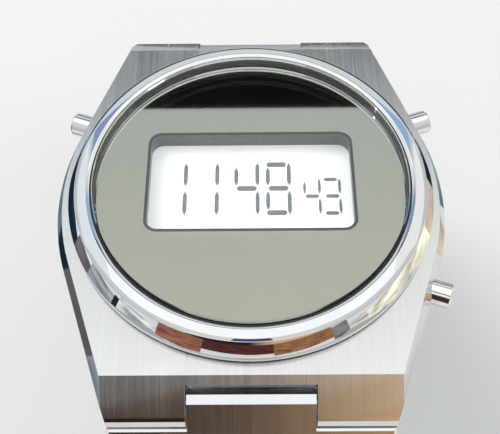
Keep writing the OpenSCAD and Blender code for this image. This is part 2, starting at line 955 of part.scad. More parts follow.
// A release button in the latch block; s is -1 on the left and 1 on the right
module clasp_button(s) {
    tip_x = half_w(links) + button_out;
    cap_x = latch_w / 2 + button_travel + loose;
    inner_x = button_hole_x + button_travel + loose;
    edge = 0.15;
    color(polished)
        rotate([0, 0, s < 0 ? 180 : 0])
            translate([0, 0, button_z])
                rotate([0, 90, 0]) {
                    translate([0, 0, inner_x])
                        cylinder(r = button_r, h = cap_x - inner_x);
                    translate([0, 0, cap_x])
                        cylinder(r = button_cap_r, h = tip_x - cap_x - edge);
                    translate([0, 0, tip_x - edge])
                        cylinder(r1 = button_cap_r, r2 = button_cap_r - edge, h = edge);
                }
}

case_middle();
bezel();
crystal();
crystal_gasket();
dial();
lcd_panel();
lcd_segments();
light_panel();
movement_holder();
connector_strips();
circuit_board();
chip();
quartz_can();
battery();
battery_clip();
contact_leaves();
alarm_disc();
case_back();
back_gasket();
back_screws();
pusher_tubes();
pusher_seals();
for (p = PUSHERS) {
    pusher(p);
    pusher_clip(p);
    pusher_spring(p);
}
for (side = SIDES, k = [1:links])
    bracelet_link(side, k);
for (side = SIDES, k = [1:2:links])
    link_pins(side, k);
clasp_arm("upper", pin_fit);  // upper_arm
clasp_arm("lower", open_pivot_gap);  // lower_arm
clasp_plate();
plate_pins();
clasp_button(-1);  // clasp_button_left
clasp_button(1);  // clasp_button_right
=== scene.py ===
"""The looks of a digital wristwatch on its link bracelet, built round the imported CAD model. Metres."""

import json
import math

import bmesh
import bpy
from mathutils import Matrix, Vector


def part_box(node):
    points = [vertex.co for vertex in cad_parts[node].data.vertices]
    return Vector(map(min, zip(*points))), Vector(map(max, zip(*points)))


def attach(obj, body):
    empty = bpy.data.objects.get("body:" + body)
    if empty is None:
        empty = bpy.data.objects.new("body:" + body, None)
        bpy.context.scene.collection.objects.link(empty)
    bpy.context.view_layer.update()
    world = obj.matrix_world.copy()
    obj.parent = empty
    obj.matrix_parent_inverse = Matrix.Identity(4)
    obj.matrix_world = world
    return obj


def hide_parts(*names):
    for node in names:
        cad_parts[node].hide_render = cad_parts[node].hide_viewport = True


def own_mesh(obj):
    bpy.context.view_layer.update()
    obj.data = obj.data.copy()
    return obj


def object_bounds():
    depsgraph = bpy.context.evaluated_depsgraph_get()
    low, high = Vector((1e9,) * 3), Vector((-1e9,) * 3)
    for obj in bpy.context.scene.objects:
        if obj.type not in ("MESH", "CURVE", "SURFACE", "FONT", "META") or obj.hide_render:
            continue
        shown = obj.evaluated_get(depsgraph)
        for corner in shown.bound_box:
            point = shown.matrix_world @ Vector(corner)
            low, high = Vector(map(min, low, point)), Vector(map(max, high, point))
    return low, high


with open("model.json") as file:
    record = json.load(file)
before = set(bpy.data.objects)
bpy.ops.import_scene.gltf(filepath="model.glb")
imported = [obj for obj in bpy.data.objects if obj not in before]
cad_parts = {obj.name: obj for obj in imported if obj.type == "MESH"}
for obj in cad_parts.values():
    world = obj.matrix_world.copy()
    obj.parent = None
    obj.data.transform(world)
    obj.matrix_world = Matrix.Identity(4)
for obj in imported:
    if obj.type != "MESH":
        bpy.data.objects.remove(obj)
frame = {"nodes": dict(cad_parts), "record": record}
cad_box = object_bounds()

# --- Case middle --------------------------------------------------------------------------------
# Milled from one block of stainless steel. The top, the end facets and the flanks are brushed along
# the bracelet, the bevel along each side is mirror polished, and the edges are barely broken.

MM = 0.001
BODY_OF = {
    node: body
    for body, nodes in frame["record"]["behaviour"]["bodies"].items()
    for node in nodes
}


class Shade:
    """A socket in a material's nodes. Arithmetic on it adds Math nodes, and node() adds any other."""

    def __init__(self, tree, socket=None):
        self.tree, self.socket = tree, socket

    def node(self, kind, sockets=None, out=0, stops=None, **settings):
        """Adds a node with its settings made first, then its sockets' values or links."""
        made = self.tree.nodes.new(kind)
        for name, value in settings.items():
            setattr(made, name, value)
        if stops:
            ramp = made.color_ramp
            while len(ramp.elements) < len(stops):
                ramp.elements.new(0.5)
            for element, (place, colour) in zip(ramp.elements, stops):
                element.position, element.color = place, (*colour, 1)
        for name, value in (sockets or {}).items():
            if isinstance(value, Shade):
                self.tree.links.new(value.socket, made.inputs[name])
            else:
                made.inputs[name].default_value = value
        return Shade(self.tree, made.outputs[out])

    def calc(self, operation, *values):
        """Adds a Math node; it serves where Python has no operator."""
        return self.node("ShaderNodeMath", dict(enumerate(values)), operation=operation)

    def __add__(self, other):
        return self.calc("ADD", self, other)

    def __mul__(self, other):
        return self.calc("MULTIPLY", self, other)

    def __sub__(self, other):
        return self.calc("SUBTRACT", self, other)

    def __rsub__(self, other):
        return self.calc("SUBTRACT", other, self)

    def __abs__(self):
        return self.calc("ABSOLUTE", self)

    __radd__ = __add__
    __rmul__ = __mul__


# A Mix node has sockets of one name for numbers and for colours, so these go by their numbers
MIX_FACTOR, MIX_LOW, MIX_HIGH, MIX_COLOUR = 0, 6, 7, 2


class Finish:
    """A material with its Principled shader; start is where its expressions begin."""

    def __init__(self, name, **values):
        self.material = bpy.data.materials.new(name)
        self.material.use_nodes = True
        tree = self.material.node_tree
        self.shader = next(n for n in tree.nodes if n.type == "BSDF_PRINCIPLED")
        self.output = next(n for n in tree.nodes if n.type == "OUTPUT_MATERIAL")
        self.start = Shade(tree)
        self.set(**values)

    def set(self, **values):
        """Sets sockets, named with underscores, to a value or a link."""
        for name, value in values.items():
            socket = self.shader.inputs[name.replace("_", " ")]
            if isinstance(value, Shade):
                self.start.tree.links.new(value.socket, socket)
            else:
                socket.default_value = value

    def place(self):
        """The place on the piece, in its object's own coordinates."""
        return self.start.node("ShaderNodeTexCoord", out="Object")

    def noise(self, scale, detail, centre=(0, 0, 0)):
        """Noise on the object's own coordinates, scaled for each axis, in cycles a metre."""
        placed = self.start.node(
            "ShaderNodeMapping", {"Vector": self.place(), "Location": centre, "Scale": scale}
        )
        return self.start.node(
            "ShaderNodeTexNoise",
            {"Vector": placed, "Scale": 1.0, "Detail": detail, "Roughness": 0.6},
        )

    def tint(self, factor, low, high):
        """A colour between two, by a factor. Each is three numbers or a link."""
        low, high = (c if isinstance(c, Shade) else (*c, 1) for c in (low, high))
        return self.start.node(
            "ShaderNodeMix",
            {MIX_FACTOR: factor, MIX_LOW: low, MIX_HIGH: high},
            out=MIX_COLOUR,
            data_type="RGBA",
        )

    def bump(self, height, depth):
        """Relief of a depth in metres."""
        return self.start.node(
            "ShaderNodeBump", {"Height": height, "Distance": depth, "Strength": 1.0}
        )


BRUSHING_DEPTH = 0.004 * MM
HAIRLINE_DEPTH = 0.0006 * MM


def brushed(name, scale, colour=(0.62, 0.615, 0.6), rough=0.25):
    """Steel brushed in fine parallel lines; scale has few cycles along the lines and many across."""
    finish = Finish(name, Metallic=1.0)
    fine = finish.noise(scale, 2.0)
    broad = finish.noise(tuple(s / 7 for s in scale), 2.0, centre=(3.1, 1.7, 0.4))
    handled = finish.noise((160, 160, 160), 3.0)
    lines = fine * 0.65 + broad * 0.35
    finish.set(
        Base_Color=finish.tint(lines, [c * 0.86 for c in colour], [c * 1.12 for c in colour]),
        Roughness=rough + (lines - 0.5) * 0.16 + (handled - 0.5) * 0.06,
        Normal=finish.bump(lines, BRUSHING_DEPTH),
    )
    return finish.material


def polished(name, colour=(0.72, 0.725, 0.73), rough=0.045):
    """Mirror-polished steel with the haze and hairlines that handling leaves."""
    finish = Finish(name, Metallic=1.0)
    haze = finish.noise((240, 240, 240), 3.0)
    hairs = finish.noise((2600, 900, 1500), 2.0)
    finish.set(
        Base_Color=finish.tint(haze, [c * 0.95 for c in colour], [c * 1.04 for c in colour]),
        Roughness=rough + (haze - 0.5) * 0.05 + (hairs - 0.5) * 0.03,
        Normal=finish.bump(hairs, HAIRLINE_DEPTH),
    )
    return finish.material


WELD = 2e-7
FLAT_ANGLE = 0.2
EDGE_STEPS = 2


def machined(node, finishes, edge, choose=None, sharp=26):
    """Copies a CAD piece, merges its triangles, breaks its edges and gives each face its finish.

    choose takes a face's normal and middle and returns the number of its finish. Edges that turn
    by more than sharp, in degrees, are broken by edge.
    """
    mesh = frame["nodes"][node].data.copy()
    mesh.materials.clear()
    for finish in finishes:
        mesh.materials.append(finish)
    form = bmesh.new()
    form.from_mesh(mesh)
    bmesh.ops.remove_doubles(form, verts=form.verts, dist=WELD)
    bmesh.ops.dissolve_limit(
        form,
        angle_limit=math.radians(FLAT_ANGLE),
        verts=form.verts,
        edges=form.edges,
        use_dissolve_boundaries=False,
    )
    for face in form.faces:
        face.smooth = True
        face.material_index = choose(face.normal, face.calc_center_median()) if choose else 0
    form.to_mesh(mesh)
    form.free()
    mesh.set_sharp_from_angle(angle=math.radians(sharp))
    piece = bpy.data.objects.new(node + "_steel", mesh)
    bpy.context.scene.collection.objects.link(piece)
    broken = piece.modifiers.new("broken edges", "BEVEL")
    broken.width, broken.segments = edge, EDGE_STEPS
    broken.limit_method, broken.angle_limit = "ANGLE", math.radians(sharp)
    broken.harden_normals = True
    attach(piece, BODY_OF[node])
    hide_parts(node)


# The brushing's cycles a metre, across its lines and along them
ACROSS, ALONG = 5200, 70
BRUSHED_CASE = brushed("case_brushed", (ACROSS, ALONG, ALONG), colour=(0.72, 0.72, 0.71))
BRUSHED_FLANK = brushed("case_flank_brushed", (ALONG, ALONG, ACROSS))
POLISHED_CASE = polished("case_polished")
CASE_TOP_Z = 7.6
FLANK_FROM_R = 18.9
CASE_EDGE = 0.05
# The least and most that the normals of the polished bevels look up
SIDE_BEVEL = (0.2, 0.5)
END_BEVEL = (0.1, 0.72)


def case_finish(normal, middle):
    """0 brushed along the bracelet, 1 polished bevels of the sides and ends, 2 brushed flank."""
    if SIDE_BEVEL[0] < normal.z < SIDE_BEVEL[1] and abs(normal.x) > 0.7:
        return 1
    if END_BEVEL[0] < normal.z < END_BEVEL[1] and abs(normal.x) < 0.1 and middle.z < CASE_TOP_Z * MM:
        return 1
    return 2 if abs(normal.z) < 0.1 and middle.xy.length > FLANK_FROM_R * MM else 0


machined(
    "case_middle",
    [BRUSHED_CASE, POLISHED_CASE, BRUSHED_FLANK],
    CASE_EDGE * MM,
    case_finish,
)

# --- Bezel --------------------------------------------------------------------------------------
# A turned and mirror-polished steel ring, pressed on the case. Its section is an upright foot, a steep
# flank, a narrow shoulder, and an almost level top ring that falls again to the crystal.

RING_STEPS = 256
RING_WELD = 1e-7
ARC_STEPS = 3


def swept_ring_tree():
    """Geometry nodes that sweep a closed section, drawn as a curve, round the watch's axis."""
    tree = bpy.data.node_groups.new("turned ring", "GeometryNodeTree")
    face = tree.interface
    face.new_socket("Section", in_out="INPUT", socket_type="NodeSocketGeometry")
    face.new_socket("Radius", in_out="INPUT", socket_type="NodeSocketFloat")
    face.new_socket("Steps", in_out="INPUT", socket_type="NodeSocketInt")
    face.new_socket("Finish", in_out="INPUT", socket_type="NodeSocketMaterial")
    face.new_socket("Ring", in_out="OUTPUT", socket_type="NodeSocketGeometry")
    nodes, link = tree.nodes, tree.links.new
    given = nodes.new("NodeGroupInput")
    made = nodes.new("NodeGroupOutput")
    circle = nodes.new("GeometryNodeCurvePrimitiveCircle")
    sweep = nodes.new("GeometryNodeCurveToMesh")
    real = nodes.new("GeometryNodeRealizeInstances")
    painted = nodes.new("GeometryNodeSetMaterial")
    link(given.outputs["Radius"], circle.inputs["Radius"])
    link(given.outputs["Steps"], circle.inputs["Resolution"])
    link(circle.outputs["Curve"], sweep.inputs["Curve"])
    link(given.outputs["Section"], sweep.inputs["Profile Curve"])
    link(sweep.outputs["Mesh"], real.inputs["Geometry"])
    link(real.outputs["Geometry"], painted.inputs["Geometry"])
    link(given.outputs["Finish"], painted.inputs["Material"])
    link(painted.outputs["Geometry"], made.inputs["Ring"])
    return tree


def set_inputs(modifier, tree, values):
    """Sets a Geometry Nodes modifier's inputs by their identifiers."""
    for item in tree.interface.items_tree:
        if item.in_out == "INPUT" and item.name in values:
            modifier[item.identifier] = values[item.name]


def made_mesh(source, name):
    """The evaluated shape of an object as a plain mesh object; the source is removed."""
    bpy.context.view_layer.update()
    mesh = bpy.data.meshes.new_from_object(
        source.evaluated_get(bpy.context.evaluated_depsgraph_get())
    )
    bpy.data.objects.remove(source)
    mesh.name = name
    piece = bpy.data.objects.new(name, mesh)
    bpy.context.scene.collection.objects.link(piece)
    return piece


def rounded(points, radius):
    """A closed outline whose corners are cut to short arcs."""
    corners = [Vector(p) for p in points]
    path = []
    for i, corner in enumerate(corners):
        before, after = corners[i - 1] - corner, corners[(i + 1) % len(corners)] - corner
        cut = min(radius, before.length * 0.45, after.length * 0.45)
        start, end = corner + before.normalized() * cut, corner + after.normalized() * cut
        for step in range(ARC_STEPS + 1):
            t = step / ARC_STEPS
            path.append(start * (1 - t) ** 2 + corner * (2 * t * (1 - t)) + end * t**2)
    return path


RING_TREE = swept_ring_tree()


def turned_ring(name, section, finish, corner, node, sharp=50):
    """A ring from its section, a list of (radius, height) in millimetres, in place of a CAD piece."""
    mid = sum(r for r, z in section) / len(section)
    curve = bpy.data.curves.new(name + "_section", "CURVE")
    curve.dimensions = "3D"
    path = rounded([(r - mid, z) for r, z in section], corner)
    spline = curve.splines.new("POLY")
    spline.points.add(len(path) - 1)
    for point, (r, z) in zip(spline.points, path):
        point.co = (r * MM, -z * MM, 0, 1)
    spline.use_cyclic_u = True
    source = bpy.data.objects.new(name + "_source", curve)
    bpy.context.scene.collection.objects.link(source)
    sweep = source.modifiers.new("turned", "NODES")
    sweep.node_group = RING_TREE
    set_inputs(sweep, RING_TREE, {"Radius": mid * MM, "Steps": RING_STEPS, "Finish": finish})
    piece = made_mesh(source, name)
    form = bmesh.new()
    form.from_mesh(piece.data)
    bmesh.ops.remove_doubles(form, verts=form.verts, dist=RING_WELD)
    bmesh.ops.recalc_face_normals(form, faces=form.faces)
    for face in form.faces:
        face.smooth = True
    form.to_mesh(piece.data)
    form.free()
    piece.data.set_sharp_from_angle(angle=math.radians(sharp))
    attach(piece, BODY_OF[node])
    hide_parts(node)


low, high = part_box("bezel")
foot_r = high.x / MM
foot_z, top_z = low.z / MM, high.z / MM
BORE_R = 16.1
NECK_R = 17.4
BEZEL_GAP = 0.25
BEZEL_FOOT_H = 0.75
BEZEL_TOP_R = 17.3
SHOULDER_W, SHOULDER_DROP = 0.35, 0.3
BEZEL_FALL = 0.15
LIP_W = 0.4
BEZEL_CORNER = 0.07
turned_ring(
    "bezel_ring",
    [
        (BORE_R, foot_z),
        (NECK_R, foot_z),
        (NECK_R, CASE_TOP_Z + BEZEL_GAP),
        (foot_r, CASE_TOP_Z + BEZEL_GAP),
        (foot_r, CASE_TOP_Z + BEZEL_GAP + BEZEL_FOOT_H),
        (BEZEL_TOP_R + SHOULDER_W, top_z - SHOULDER_DROP),
        (BEZEL_TOP_R, top_z - BEZEL_FALL),
        (BORE_R + LIP_W, top_z),
        (BORE_R, top_z - BEZEL_FALL),
    ],
    polished("bezel_polished", colour=(0.76, 0.765, 0.77), rough=0.03),
    BEZEL_CORNER,
    "bezel",
    sharp=40,
)

# --- Crystal and its gasket ---------------------------------------------------------------------
# A flat disc of clear glass with a small polished chamfer, held in the bezel by a black gasket. It
# stands a little above the bezel, and a film of air lies between its edge and the gasket.


def glazing():
    """Clear glass that lets light straight through to what lies under it."""
    finish = Finish("crystal_glass", Roughness=0.0, IOR=1.5, Transmission_Weight=1.0)
    finish.set(Base_Color=(0.985, 0.992, 0.99, 1))
    start = finish.start
    glass = Shade(start.tree, finish.shader.outputs[0])
    shadow = start.node("ShaderNodeLightPath", out="Is Shadow Ray")
    clear = start.node("ShaderNodeBsdfTransparent", {"Color": (0.97, 0.975, 0.97, 1)})
    mixed = start.node("ShaderNodeMixShader", {0: shadow, 1: glass, 2: clear})
    start.tree.links.new(mixed.socket, finish.output.inputs["Surface"])
    return finish.material


def rubber(name, colour=(0.012, 0.012, 0.013)):
    """Matte moulded rubber with a fine grain."""
    finish = Finish(name)
    grain = finish.noise((9000, 9000, 9000), 2.0)
    finish.set(
        Base_Color=finish.tint(grain, [c * 0.7 for c in colour], [c * 1.4 for c in colour]),
        Roughness=0.45 + (grain - 0.5) * 0.3,
        Normal=finish.bump(grain, 4e-6),
    )
    return finish.material


DISC_SHARP = 20


def turned_disc(name, edge, finish, node):
    """A solid disc from its edge, a list of (radius, height) in millimetres from bottom to top."""
    form = bmesh.new()
    rings = []
    for r, z in edge:
        turns = [2 * math.pi * i / RING_STEPS for i in range(RING_STEPS)]
        ring = [(r * MM * math.cos(a), r * MM * math.sin(a), z * MM) for a in turns]
        rings.append([form.verts.new(place) for place in ring])
    for lower, upper in zip(rings, rings[1:]):
        for i in range(RING_STEPS):
            form.faces.new((lower[i - 1], lower[i], upper[i], upper[i - 1])).smooth = True
    form.faces.new(rings[0][::-1])
    form.faces.new(rings[-1])
    mesh = bpy.data.meshes.new(name)
    form.to_mesh(mesh)
    form.free()
    mesh.set_sharp_from_angle(angle=math.radians(DISC_SHARP))
    mesh.materials.append(finish)
    piece = bpy.data.objects.new(name, mesh)
    bpy.context.scene.collection.objects.link(piece)
    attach(piece, BODY_OF[node])
    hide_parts(node)


AIR_FILM = 0.02
GLASS_CHAMFER = 0.15
low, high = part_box("crystal")
glass_r, glass_low_z, glass_top_z = high.x / MM - AIR_FILM, low.z / MM, high.z / MM
turned_disc(
    "crystal_disc",
    [
        (glass_r, glass_low_z + AIR_FILM),
        (glass_r, glass_top_z - GLASS_CHAMFER),
        (glass_r - GLASS_CHAMFER, glass_top_z),
    ],
    glazing(),
    "crystal",
)
BLACK_RUBBER = rubber("black_rubber")
GASKET_FOOT_R = 15.8
GASKET_CORNER = 0.03
low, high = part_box("crystal_gasket")
turned_ring(
    "crystal_gasket_ring",
    [
        (GASKET_FOOT_R, low.z / MM),
        (BORE_R, low.z / MM),
        (BORE_R, high.z / MM),
        (glass_r + AIR_FILM, high.z / MM),
        (glass_r + AIR_FILM, glass_low_z),
        (GASKET_FOOT_R, glass_low_z),
    ],
    BLACK_RUBBER,
    GASKET_CORNER,
    "crystal_gasket",
)

# --- Dial ---------------------------------------------------------------------------------------
# A thin metal plate with grey plating, polished almost to a mirror. A dark line is printed round the
# window in it, and the window's walls are coloured dark as painted shade. The rest of its face is bare.

WINDOW_HALF = (10.3 * MM, 5.7 * MM)
WINDOW_R = 1.1 * MM
WINDOW_UP = 0.35 * MM
PRINTED_LINE = 0.32 * MM
LINE_SOFTNESS = 0.02 * MM


def recoloured(node, finishes, choose=None):
    """Gives a CAD piece that keeps its shape its finish."""
    piece = frame["nodes"][node]
    piece.data.materials.clear()
    for finish in finishes:
        piece.data.materials.append(finish)
    for face in piece.data.polygons:
        face.material_index = choose(face.normal, face.center) if choose else 0


def from_window(finish):
    """Distance out from the window's edge, in metres, and 0 or less inside it near its corners."""
    place = {"Vector": finish.place()}
    across = finish.start.node("ShaderNodeSeparateXYZ", place, out="X")
    up = finish.start.node("ShaderNodeSeparateXYZ", place, out="Y") - WINDOW_UP
    x = abs(across) - (WINDOW_HALF[0] - WINDOW_R)
    y = abs(up) - (WINDOW_HALF[1] - WINDOW_R)
    x, y = x.calc("MAXIMUM", x, 0.0), y.calc("MAXIMUM", y, 0.0)
    return x.calc("SQRT", x * x + y * y) - WINDOW_R


def dial_plating():
    """Grey plating, almost a mirror where it is bare, under the dark line printed round the window."""
    finish = Finish("dial_plating")
    cloud = finish.noise((70, 70, 70), 2.0)
    grain = finish.noise((2400, 60, 60), 2.0)
    away = from_window(finish)
    bare = away.node(
        "ShaderNodeMapRange",
        {
            "Value": away,
            "From Min": PRINTED_LINE - LINE_SOFTNESS,
            "From Max": PRINTED_LINE + LINE_SOFTNESS,
        },
    )
    plate = finish.tint(cloud, (0.49, 0.505, 0.445), (0.535, 0.55, 0.49))
    painted = finish.tint(grain, (0.012, 0.013, 0.014), (0.03, 0.032, 0.034))
    finish.set(
        Base_Color=finish.tint(bare, painted, plate),
        Metallic=bare,
        Roughness=0.45 - bare * 0.425 + (cloud - 0.5) * 0.015 + (grain - 0.5) * 0.01,
        Normal=finish.bump(grain, 2.5e-7),
    )
    return finish.material


def painted_wall_shade():
    """Painted shade on the window's walls: near black, streaked level by the cutter."""
    finish = Finish("window_wall_painted_shade")
    streaks = finish.noise((500, 500, 7000), 2.0)
    # Painted shade: the walls are coloured near black for the shade that falls in the window's recess
    finish.set(
        Base_Color=finish.tint(streaks, (0.02, 0.023, 0.022), (0.12, 0.13, 0.12)),
        Roughness=0.3 + (streaks - 0.5) * 0.2,
        Normal=finish.bump(streaks, 6e-6),
    )
    return finish.material


recoloured(
    "dial",
    [dial_plating(), painted_wall_shade()],
    lambda normal, middle: 0 if normal.z > 0.5 else 1,
)

# --- Display ------------------------------------------------------------------------------------
# A reflective liquid-crystal panel: two sheets of glass on a pale reflector with a painted glow, and
# grey segments. A milky light panel lies behind it. Its figures are plain segment digits.


def liquid_crystal_painted_glow():
    """The pale reflector behind the liquid crystal, under glass, with a faint painted glow."""
    finish = Finish("display_reflector_painted_glow", IOR=1.5, Coat_Weight=0.3, Coat_Roughness=0.05)
    grain = finish.noise((7000, 7000, 7000), 2.0)
    finish.set(
        Base_Color=finish.tint(grain, (0.84, 0.88, 0.88), (0.93, 0.95, 0.94)),
        Roughness=0.5 + (grain - 0.5) * 0.1,
        # Painted glow: the reflector gives off a little light, which lifts it out of the shade under the
        # glass
        Emission_Color=(0.86, 0.9, 0.9, 1),
        Emission_Strength=0.3,
    )
    return finish.material


def segment_grey():
    """Liquid crystal that is switched on."""
    finish = Finish("display_segment_grey")
    grain = finish.noise((4000, 4000, 4000), 2.0)
    finish.set(
        Base_Color=finish.tint(grain, (0.13, 0.155, 0.17), (0.19, 0.215, 0.23)),
        Roughness=0.45 + (grain - 0.5) * 0.1,
    )
    return finish.material


MOULD_GRAIN_DEPTH = 0.003 * MM


def moulded(name, colour, rough):
    """Moulded plastic with the fine texture of its tool."""
    finish = Finish(name)
    grain = finish.noise((3000, 3000, 3000), 3.0)
    flow = finish.noise((120, 120, 120), 2.0)
    finish.set(
        Base_Color=finish.tint(flow, [c * 0.88 for c in colour], [c * 1.1 for c in colour]),
        Roughness=rough + (grain - 0.5) * 0.16,
        Normal=finish.bump(grain, MOULD_GRAIN_DEPTH),
    )
    return finish.material


recoloured("lcd_panel", [liquid_crystal_painted_glow()])
recoloured("lcd_segments", [segment_grey()])
recoloured("light_panel", [moulded("milky_diffuser", (0.8, 0.83, 0.8), 0.3)])

# --- Movement -----------------------------------------------------------------------------------
# A moulded holder carries the display, a lacquered circuit board with its chip and quartz can, two
# rubber connector strips, the battery in its clip, and a brass sounder disc on the case back.


def lacquered_board():
    """Green lacquer over a close pattern of tracks."""
    finish = Finish("board_lacquer", Coat_Weight=0.5, Coat_Roughness=0.1)
    tracks = finish.start.node(
        "ShaderNodeTexBrick", {"Vector": finish.place(), "Scale": 900.0}, out="Fac"
    )
    finish.set(
        Base_Color=finish.tint(tracks, (0.012, 0.1, 0.045), (0.035, 0.2, 0.09)),
        Roughness=0.35 + tracks * 0.1,
        Normal=finish.bump(tracks, 1.5e-5),
    )
    return finish.material


def turned_metal(name, colour, rough):
    """Plated or turned sheet metal with faint tool marks."""
    finish = Finish(name, Metallic=1.0)
    marks = finish.noise((900, 2800, 900), 2.0)
    stain = finish.noise((300, 300, 300), 3.0)
    finish.set(
        Base_Color=finish.tint(stain, [c * 0.85 for c in colour], [c * 1.08 for c in colour]),
        Roughness=rough + (marks - 0.5) * 0.14,
        Normal=finish.bump(marks, 2e-6),
    )
    return finish.material


CONTACT_GOLD = turned_metal("contact_plating", (0.72, 0.55, 0.26), 0.28)
recoloured("movement_holder", [moulded("holder_moulding", (0.11, 0.12, 0.115), 0.25)])
recoloured("connector_strips", [rubber("connector_rubber", (0.42, 0.13, 0.17))])
recoloured("circuit_board", [lacquered_board()])
recoloured("chip", [moulded("chip_epoxy", (0.015, 0.015, 0.016), 0.5)])
recoloured("quartz_can", [turned_metal("quartz_nickel", (0.7, 0.7, 0.68), 0.2)])
recoloured("battery", [turned_metal("battery_nickel", (0.66, 0.66, 0.63), 0.25)])
recoloured("battery_clip", [CONTACT_GOLD])
recoloured("contact_leaves", [CONTACT_GOLD])
recoloured("alarm_disc", [turned_metal("sounder_brass", (0.7, 0.52, 0.2), 0.3)])

# --- Case back ----------------------------------------------------------------------------------
# A turned steel disc with a chamfered rim, brushed straight, on a rubber gasket. Four countersunk
# screws with a straight slot hold it.

BRUSHED_BACK = brushed(
    "back_brushed", (ALONG, ACROSS, ALONG), colour=(0.6, 0.6, 0.59), rough=0.28
)
BACK_RIM = (-0.95, -0.3)
BACK_EDGE = 0.03
SCREW_EDGE = 0.02
machined(
    "case_back",
    [BRUSHED_BACK, polished("back_rim_polished")],
    BACK_EDGE * MM,
    lambda normal, middle: 1 if BACK_RIM[0] < normal.z < BACK_RIM[1] else 0,
)
recoloured("back_gasket", [BLACK_RUBBER])
machined(
    "back_screws", [polished("screw_polished", rough=0.12)], SCREW_EDGE * MM
)

# --- Push-buttons -------------------------------------------------------------------------------
# Three turned and polished steel buttons. Each stem runs in a brass tube with a rubber seal, a coil
# spring pushes its head out, and a clip in the stem's groove keeps it in.

COIL_TURNS = 5
COIL_STEPS = 24
COIL_R = 0.85
WIRE_R = 0.13
WIRE_SIDES = 10
COIL_END = 1.2 * WIRE_R
BUTTON_EDGE = 0.04


def coil_tree():
    """Geometry nodes for a coil spring along Z: a spiral swept with round wire."""
    tree = bpy.data.node_groups.new("coil spring", "GeometryNodeTree")
    face = tree.interface
    face.new_socket("Nothing", in_out="INPUT", socket_type="NodeSocketGeometry")
    for name in ("Radius", "Length", "Turns", "Wire"):
        face.new_socket(name, in_out="INPUT", socket_type="NodeSocketFloat")
    face.new_socket("Finish", in_out="INPUT", socket_type="NodeSocketMaterial")
    face.new_socket("Coil", in_out="OUTPUT", socket_type="NodeSocketGeometry")
    nodes, link = tree.nodes, tree.links.new
    given = nodes.new("NodeGroupInput")
    made = nodes.new("NodeGroupOutput")
    spiral = nodes.new("GeometryNodeCurveSpiral")
    spiral.inputs["Resolution"].default_value = COIL_STEPS
    wire = nodes.new("GeometryNodeCurvePrimitiveCircle")
    wire.inputs["Resolution"].default_value = WIRE_SIDES
    sweep = nodes.new("GeometryNodeCurveToMesh")
    sweep.inputs["Fill Caps"].default_value = True
    real = nodes.new("GeometryNodeRealizeInstances")
    painted = nodes.new("GeometryNodeSetMaterial")
    link(given.outputs["Radius"], spiral.inputs["Start Radius"])
    link(given.outputs["Radius"], spiral.inputs["End Radius"])
    link(given.outputs["Length"], spiral.inputs["Height"])
    link(given.outputs["Turns"], spiral.inputs["Rotations"])
    link(given.outputs["Wire"], wire.inputs["Radius"])
    link(spiral.outputs["Curve"], sweep.inputs["Curve"])
    link(wire.outputs["Curve"], sweep.inputs["Profile Curve"])
    link(sweep.outputs["Mesh"], real.inputs["Geometry"])
    link(real.outputs["Geometry"], painted.inputs["Geometry"])
    link(given.outputs["Finish"], painted.inputs["Material"])
    link(painted.outputs["Geometry"], made.inputs["Coil"])
    return tree


COIL_TREE = coil_tree()
SPRING_STEEL = polished("spring_steel", rough=0.12)
BUTTON_STEEL = polished("button_polished", colour=(0.84, 0.84, 0.83), rough=0.16)
CLIP_STEEL = turned_metal("clip_steel", (0.6, 0.6, 0.6), 0.3)


def coil_spring(hour):
    """The coil that fills the CAD sleeve between a button's tube and its head."""
    joints = frame["record"]["behaviour"]["joints"]
    press = next(joint for joint in joints if joint["name"] == f"pusher_{hour}_press")
    inward = Vector(press["axis"])
    sleeve = frame["nodes"][f"pusher_spring_{hour}"].data
    along = [v.co.dot(inward) for v in sleeve.vertices]
    middle = sum((v.co for v in sleeve.vertices), Vector()) / len(sleeve.vertices)
    length = max(along) - min(along)
    source = bpy.data.objects.new(f"coil_{hour}_source", bpy.data.meshes.new(f"coil_{hour}_source"))
    bpy.context.scene.collection.objects.link(source)
    winding = source.modifiers.new("winding", "NODES")
    winding.node_group = COIL_TREE
    set_inputs(
        winding,
        COIL_TREE,
        {
            "Radius": COIL_R * MM,
            "Length": length - 2 * COIL_END * MM,
            "Turns": float(COIL_TURNS),
            "Wire": WIRE_R * MM,
            "Finish": SPRING_STEEL,
        },
    )
    piece = made_mesh(source, f"button_spring_{hour}")
    inner_end = middle + inward * (max(along) - middle.dot(inward))
    turn = (-inward).to_track_quat("Z", "Y").to_matrix().to_4x4()
    piece.data.transform(Matrix.Translation(inner_end - inward * COIL_END * MM) @ turn)
    for face in piece.data.polygons:
        face.use_smooth = True
    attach(piece, "case")
    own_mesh(piece)
    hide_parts(f"pusher_spring_{hour}")


for hour in ("10", "2", "4"):
    machined(f"pusher_{hour}", [BUTTON_STEEL], BUTTON_EDGE * MM, sharp=32)
    recoloured(f"pusher_clip_{hour}", [CLIP_STEEL])
    coil_spring(hour)
recoloured("pusher_tubes", [turned_metal("tube_brass", (0.62, 0.5, 0.26), 0.25)])
recoloured("pusher_seals", [BLACK_RUBBER])

# --- Bracelet -----------------------------------------------------------------------------------
# Seven solid steel links on each side, T-shaped, each with a tongue that turns in the slot of the
# one before on a steel pin. Brushed lengthwise, with polished bevels on the long edges and tongues.

LINKS = 7
LINK_EDGE = 0.06
WRIST_Z = -18
LINK_ALONG = 110
LINK_BEVEL = (0.3, 0.93)
BRUSHED_LINK = brushed(
    "link_brushed", (ACROSS, LINK_ALONG, LINK_ALONG), colour=(0.57, 0.56, 0.545), rough=0.24
)
POLISHED_LINK = polished("link_polished")


def link_finish(axis_out):
    """0 brushed, 1 polished: what slopes between the outer face and the sides or the tongue's end."""

    def choose(normal, middle):
        return 1 if LINK_BEVEL[0] < normal.dot(axis_out) < LINK_BEVEL[1] else 0

    return choose


